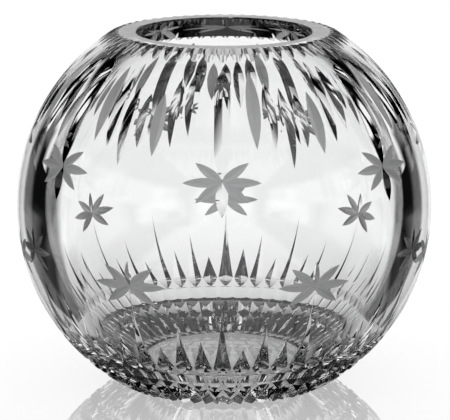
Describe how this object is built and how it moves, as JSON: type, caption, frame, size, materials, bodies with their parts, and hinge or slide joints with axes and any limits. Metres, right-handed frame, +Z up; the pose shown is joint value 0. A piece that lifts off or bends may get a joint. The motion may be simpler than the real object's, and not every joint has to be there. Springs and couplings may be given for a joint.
{
  "type": "rose bowl vase",
  "caption": "Ball-shaped cut crystal vase with a wide round mouth, a flat rim and a flat foot, cut with flutes, hanging leaves, star flowers, grass blades and a diamond band.",
  "frame": {"origin": "middle of the flat foot, on the surface that the bowl stands on", "axes": "+Z up along the bowl's axis, -Y towards the viewer through the middle of one upper flower"},
  "size_m": [0.203, 0.203, 0.1737],
  "materials": {
    "crystal": "clear polished lead crystal, some of the cuts left satin"
  },
  "bodies": {
    "root": {"rose_bowl": "crystal"}
  },
  "joints": []
}
